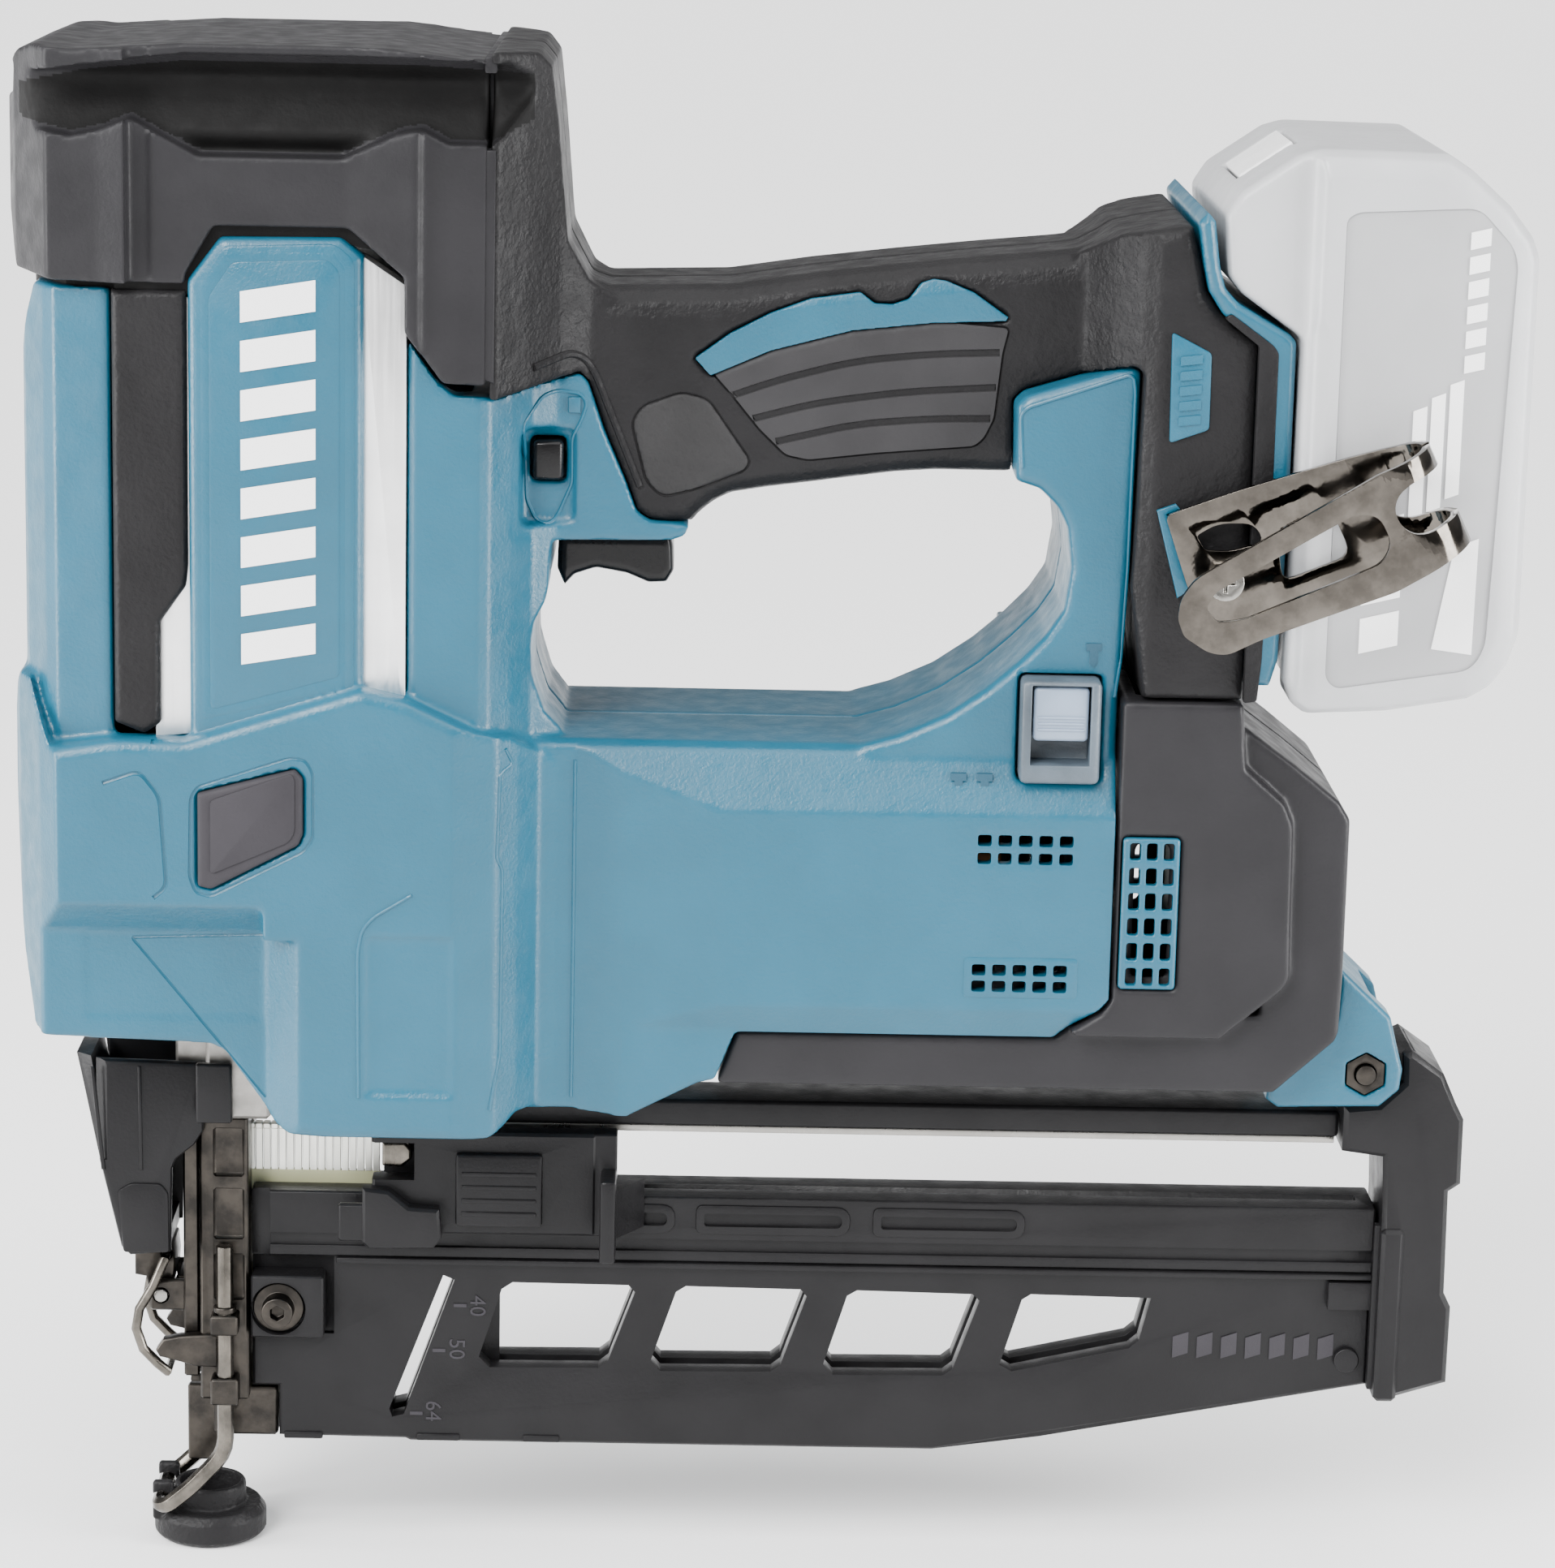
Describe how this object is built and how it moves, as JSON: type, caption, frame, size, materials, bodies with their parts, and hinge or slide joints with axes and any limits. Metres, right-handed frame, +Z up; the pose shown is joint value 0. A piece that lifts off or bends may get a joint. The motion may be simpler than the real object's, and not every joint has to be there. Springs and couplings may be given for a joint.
{
  "type": "cordless brad nailer",
  "caption": "Battery-powered straight brad nailer with a gas-spring drive, side-loaded stick magazine, sprung contact nose, closed hand grip, tilted rear battery and belt hook.",
  "frame": {"origin": "on the flat underside of the nose cushion, 5 mm in front of the drive axis' far rim, on the tool's middle plane; this face rests on the work", "axes": "+X from the nose towards the battery, +Y to the side without the belt hook, +Z up the drive axis away from the work"},
  "size_m": [0.2934, 0.1026, 0.31],
  "materials": {
    "teal_shell": "fine spark-eroded texture",
    "black_rubber": "soft over-moulded grip",
    "grey_pad": "soft pad",
    "black_plastic": "moulded, fine grain",
    "battery_shell": "pale moulded shell",
    "grey_panel": "smooth",
    "chrome_strap": "bright plated spring steel",
    "bright_steel": "zinc plated",
    "aluminium": "machined casting",
    "soft_rubber": "matt",
    "tool_steel": "ground",
    "dark_steel": "blackened",
    "copper_windings": "enamelled copper wire",
    "circuit_board": "lacquered board",
    "collated_brads": "glue-collated wire"
  },
  "bodies": {
    "housing": {"housing_left": "teal_shell", "housing_right": "teal_shell", "head_cap": "black_rubber", "grip_left": "black_rubber", "grip_right": "black_rubber", "side_guard_left": "black_rubber", "side_guard_right": "black_rubber", "side_pad_left": "grey_pad", "side_pad_right": "grey_pad", "grip_inlay_left": "teal_shell", "grip_inlay_right": "teal_shell", "rear_cover_left": "black_plastic", "rear_cover_right": "black_plastic", "vent_insert_left": "teal_shell", "vent_insert_right": "teal_shell", "battery_mount": "teal_shell", "terminal_block": "black_plastic", "belt_hook": "chrome_strap", "hook_screw": "bright_steel", "mode_bezel": "grey_panel", "rear_bracket": "teal_shell", "bracket_bolt": "bright_steel", "bracket_nut": "bright_steel", "drive_cylinder": "aluminium", "cylinder_head": "aluminium", "bumper": "soft_rubber", "drive_frame": "aluminium", "gearbox_case": "aluminium", "motor_stator": "copper_windings", "controller_board": "circuit_board", "trigger_pin": "bright_steel", "trigger_switch": "black_plastic", "driver_guide": "dark_steel", "nose_bracket": "black_plastic", "magazine_body": "black_plastic", "magazine_rail": "black_plastic", "nail_rail": "bright_steel", "magazine_post": "black_plastic", "nail_strip": "collated_brads", "magazine_clamp": "black_plastic", "magazine_screw": "dark_steel"},
    "battery": {"battery_pack": "battery_shell"},
    "battery_button": {"battery_button": "battery_shell"},
    "mode_slider": {"mode_slider": "grey_panel"},
    "trigger": {"trigger": "black_plastic"},
    "lock_button": {"lock_button": "black_plastic"},
    "contact_element": {"contact_arm": "bright_steel", "nose_cushion": "soft_rubber"},
    "pusher": {"pusher": "black_plastic", "pusher_tip": "dark_steel"},
    "pusher_latch": {"pusher_latch": "black_plastic"},
    "nose_door": {"nose_door": "dark_steel", "latch_pin": "bright_steel"},
    "latch_lever": {"latch_lever": "black_plastic", "latch_plate": "dark_steel"},
    "latch_bail": {"latch_bail": "bright_steel"},
    "motor_rotor": {"motor_rotor": "tool_steel"},
    "lifter": {"lifter": "tool_steel"},
    "driver": {"piston": "aluminium", "driver_blade": "tool_steel"}
  },
  "joints": [
    {"name": "battery_slide", "type": "slide", "parent": "housing", "child": "battery", "axis": [0, 0, 1], "range_m": [0, 0.09]},
    {"name": "battery_button_press", "type": "slide", "parent": "battery", "child": "battery_button", "axis": [0.568, 0, -0.823], "range_m": [0, 0.0022], "stiffness_N_per_m": 1500, "springref_m": -0.002},
    {"name": "mode_slide", "type": "slide", "parent": "housing", "child": "mode_slider", "axis": [0, 0, -1], "range_m": [0, 0.0044]},
    {"name": "trigger_pull", "type": "hinge", "parent": "housing", "child": "trigger", "pos_m": [0.0834, 0, 0.2158], "axis": [0, 1, 0], "range_deg": [0, 10], "stiffness_Nm_per_rad": 0.3, "springref_deg": -8.59},
    {"name": "lock_button_slide", "type": "slide", "parent": "housing", "child": "lock_button", "axis": [0, 1, 0], "range_m": [0, 0.0036]},
    {"name": "contact_press", "type": "slide", "parent": "housing", "child": "contact_element", "axis": [0, 0, 1], "range_m": [0, 0.008], "stiffness_N_per_m": 600, "springref_m": -0.008},
    {"name": "pusher_slide", "type": "slide", "parent": "housing", "child": "pusher", "axis": [1, 0, 0], "range_m": [0, 0.14], "stiffness_N_per_m": 30, "springref_m": -0.2},
    {"name": "pusher_latch_press", "type": "hinge", "parent": "pusher", "child": "pusher_latch", "pos_m": [0.041, -0.015, 0.072], "axis": [0, -1, 0], "range_deg": [0, 10], "stiffness_Nm_per_rad": 0.02, "springref_deg": -17.19},
    {"name": "nose_door_swing", "type": "hinge", "parent": "housing", "child": "nose_door", "pos_m": [-0.0082, 0, 0.0926], "axis": [0, 1, 0], "range_deg": [0, 30]},
    {"name": "latch_lever_swing", "type": "hinge", "parent": "nose_door", "child": "latch_lever", "pos_m": [-0.0141, 0, 0.0537], "axis": [0, -1, 0], "range_deg": [0, 90]},
    {"name": "latch_bail_swing", "type": "hinge", "parent": "latch_lever", "child": "latch_bail", "pos_m": [-0.0131, 0, 0.062], "axis": [0, -1, 0], "range_deg": [-72, 0]},
    {"name": "motor_spin", "type": "hinge", "parent": "housing", "child": "motor_rotor", "pos_m": [0.135, 0, 0.1438], "axis": [1, 0, 0], "continuous": true},
    {"name": "lifter_spin", "type": "hinge", "parent": "housing", "child": "lifter", "pos_m": [0.045, 0, 0.1438], "axis": [1, 0, 0], "continuous": true},
    {"name": "driver_stroke", "type": "slide", "parent": "housing", "child": "driver", "axis": [0, 0, -1], "range_m": [0, 0.082]}
  ],
  "couplings": [
    {"joint": "lifter_spin", "follows": "motor_spin", "ratio": 0.08333},
    {"joint": "nose_door_swing", "follows": "latch_lever_swing", "ratio": 0.33333},
    {"joint": "latch_bail_swing", "follows": "latch_lever_swing", "ratio": -0.8}
  ]
}
